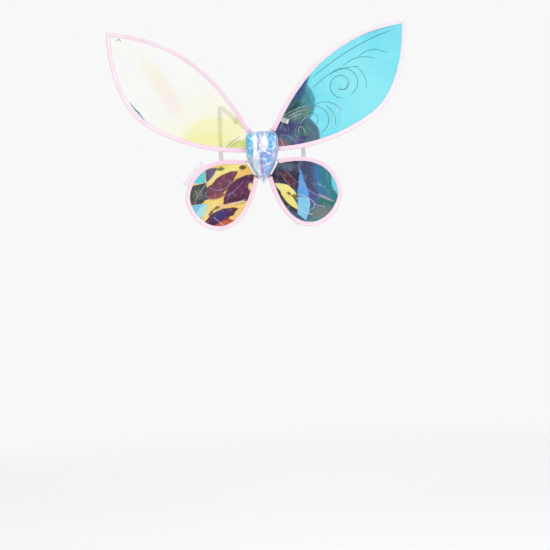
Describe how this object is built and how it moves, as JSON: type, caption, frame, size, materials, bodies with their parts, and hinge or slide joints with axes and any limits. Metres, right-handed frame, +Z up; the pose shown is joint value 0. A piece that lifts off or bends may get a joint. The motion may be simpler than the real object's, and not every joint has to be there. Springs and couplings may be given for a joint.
{
  "type": "fairy wings",
  "caption": "Butterfly-shaped costume wings: wire-edged iridescent film panels hinged on a padded teardrop hub, worn with elastic shoulder loops.",
  "frame": {"origin": "centre of the back pad's flat face, which rests between the wearer's shoulder blades", "axes": "+Y out of the pad towards the wearer, +X along the wingspan to the wearer's right as seen from behind, +Z up"},
  "size_m": [0.6464, 0.1447, 0.4361],
  "materials": {
    "hub_plastic": "moulded, slightly translucent white",
    "screw_steel": "zinc plated",
    "pad_foam": "soft closed-cell foam",
    "pad_fabric": "pale pink brushed tricot",
    "gem_foam": "fibre filling",
    "gem_foil": "iridescent vinyl foil, blue to lilac",
    "tip_vinyl": "clear vinyl, milky",
    "pin_steel": "bright drawn steel",
    "wing_wire": "spring steel",
    "sleeve_steel": "crimped tube",
    "film_upper_left": "clear iridescent film, pale yellow",
    "film_upper_right": "clear iridescent film, cyan",
    "film_lower_left": "clear iridescent film, gold and violet",
    "film_lower_right": "clear iridescent film, teal and navy",
    "binding_tape": "pearly pale pink satin tape",
    "strap_elastic": "ribbed white elastic",
    "slider_plastic": "ivory acetal"
  },
  "bodies": {
    "hub": {"hub_base": "hub_plastic", "hub_clamp": "hub_plastic", "hub_screws": "screw_steel", "back_pad": "pad_foam", "pad_cover": "pad_fabric", "gem_padding": "gem_foam", "gem_cover": "gem_foil", "gem_tip": "tip_vinyl", "strap_pin_left": "pin_steel", "strap_pin_right": "pin_steel"},
    "wing_upper_left": {"wire_upper_left": "wing_wire", "sleeve_upper_left": "sleeve_steel", "film_upper_left": "film_upper_left", "binding_upper_left": "binding_tape"},
    "wing_upper_right": {"wire_upper_right": "wing_wire", "sleeve_upper_right": "sleeve_steel", "film_upper_right": "film_upper_right", "binding_upper_right": "binding_tape"},
    "wing_lower_left": {"wire_lower_left": "wing_wire", "sleeve_lower_left": "sleeve_steel", "film_lower_left": "film_lower_left", "binding_lower_left": "binding_tape"},
    "wing_lower_right": {"wire_lower_right": "wing_wire", "sleeve_lower_right": "sleeve_steel", "film_lower_right": "film_lower_right", "binding_lower_right": "binding_tape"},
    "strap_loop_left": {"strap_left": "strap_elastic"},
    "strap_slider_left": {"slider_left": "slider_plastic"},
    "strap_loop_right": {"strap_right": "strap_elastic"},
    "strap_slider_right": {"slider_right": "slider_plastic"}
  },
  "joints": [
    {"name": "wing_upper_left_flap", "type": "hinge", "parent": "hub", "child": "wing_upper_left", "pos_m": [-0.021, -0.0105, 0.048], "axis": [0.3162, 0, 0.9487], "range_deg": [-8, 28], "stiffness_Nm_per_rad": 2},
    {"name": "wing_upper_right_flap", "type": "hinge", "parent": "hub", "child": "wing_upper_right", "pos_m": [0.021, -0.0105, 0.048], "axis": [0.3162, 0, -0.9487], "range_deg": [-8, 28], "stiffness_Nm_per_rad": 2},
    {"name": "wing_lower_left_flap", "type": "hinge", "parent": "hub", "child": "wing_lower_left", "pos_m": [-0.03, -0.0105, -0.012], "axis": [-0.463, 0, 0.8863], "range_deg": [-8, 28], "stiffness_Nm_per_rad": 0.8},
    {"name": "wing_lower_right_flap", "type": "hinge", "parent": "hub", "child": "wing_lower_right", "pos_m": [0.03, -0.0105, -0.012], "axis": [-0.463, 0, -0.8863], "range_deg": [-8, 28], "stiffness_Nm_per_rad": 0.8},
    {"name": "strap_left_swing", "type": "hinge", "parent": "hub", "child": "strap_loop_left", "pos_m": [-0.006, -0.00825, 0], "axis": [0, 0, -1], "range_deg": [-3, 25]},
    {"name": "slider_left_adjust", "type": "slide", "parent": "strap_loop_left", "child": "strap_slider_left", "axis": [-0.7242, 0.1207, 0.6789], "range_m": [-0.012, 0.012]},
    {"name": "strap_right_swing", "type": "hinge", "parent": "hub", "child": "strap_loop_right", "pos_m": [0.006, -0.00825, 0], "axis": [0, 0, 1], "range_deg": [-3, 25]},
    {"name": "slider_right_adjust", "type": "slide", "parent": "strap_loop_right", "child": "strap_slider_right", "axis": [0.7242, 0.1207, 0.6789], "range_m": [-0.012, 0.012]}
  ]
}
